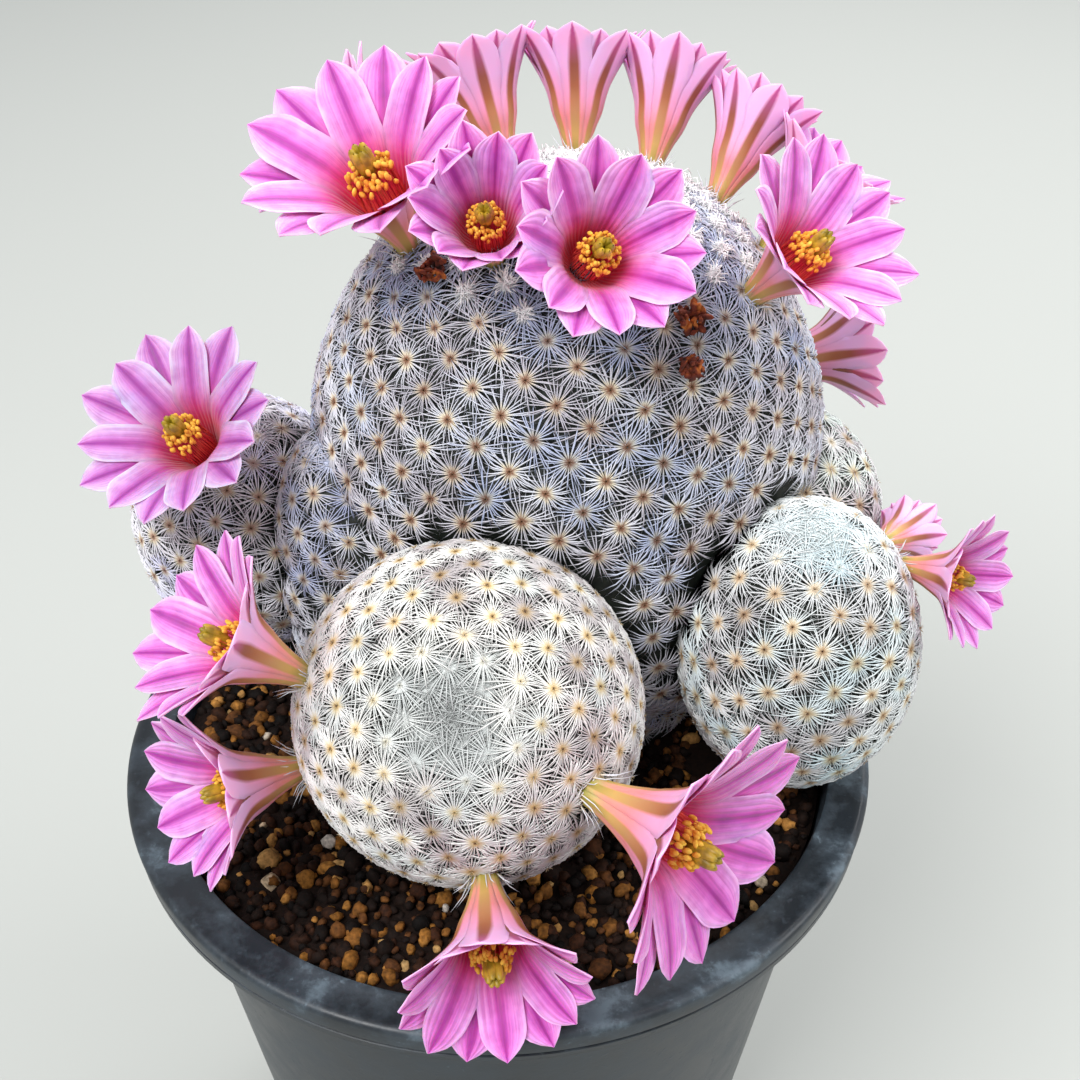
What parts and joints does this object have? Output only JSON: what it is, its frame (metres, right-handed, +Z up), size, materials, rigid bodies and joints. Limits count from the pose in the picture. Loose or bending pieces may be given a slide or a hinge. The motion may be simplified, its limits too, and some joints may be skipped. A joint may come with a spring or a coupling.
{
  "type": "potted round cactus",
  "caption": "Clump of round, white-spined cactus heads with pink funnel-shaped blooms, growing in a round tapered plastic pot.",
  "frame": {"origin": "middle of the pot's underside, on the surface it stands on", "axes": "+Z up, +X to the right and +Y away as seen from the front, where the small front head is"},
  "size_m": [0.1272, 0.1156, 0.1915],
  "materials": {
    "pot_plastic": "satin charcoal, dusty",
    "soil": "matt brown granules of pumice, clay and bark",
    "spiny_skin": "matt green skin under flat stars of white spines",
    "petals": "soft pink petals with a darker midstripe",
    "stamens": "orange-yellow stamens round an olive stigma",
    "withered": "dry brown flower remains"
  },
  "bodies": {
    "root": {"pot": "pot_plastic", "soil": "soil", "head_front": "spiny_skin", "head_right": "spiny_skin", "head_right_back": "spiny_skin", "head_left": "spiny_skin", "lobe_low_left": "spiny_skin", "head_main": "spiny_skin", "bloom_01_petals": "petals", "bloom_02_petals": "petals", "bloom_03_petals": "petals", "bloom_04_petals": "petals", "bloom_05_petals": "petals", "bloom_06_petals": "petals", "bloom_07_petals": "petals", "bloom_08_petals": "petals", "bloom_09_petals": "petals", "bloom_10_petals": "petals", "bloom_11_petals": "petals", "bloom_12_petals": "petals", "bloom_13_petals": "petals", "bloom_14_petals": "petals", "bloom_15_petals": "petals", "bloom_16_petals": "petals", "bloom_17_petals": "petals", "bloom_18_petals": "petals", "bloom_01_stamens": "stamens", "bloom_02_stamens": "stamens", "bloom_03_stamens": "stamens", "bloom_04_stamens": "stamens", "bloom_05_stamens": "stamens", "bloom_06_stamens": "stamens", "bloom_07_stamens": "stamens", "bloom_08_stamens": "stamens", "bloom_09_stamens": "stamens", "bloom_10_stamens": "stamens", "bloom_11_stamens": "stamens", "bloom_12_stamens": "stamens", "bloom_13_stamens": "stamens", "bloom_14_stamens": "stamens", "bloom_15_stamens": "stamens", "bloom_16_stamens": "stamens", "bloom_17_stamens": "stamens", "bloom_18_stamens": "stamens", "withered_flower_1": "withered", "withered_flower_2": "withered", "withered_flower_3": "withered"}
  },
  "joints": []
}
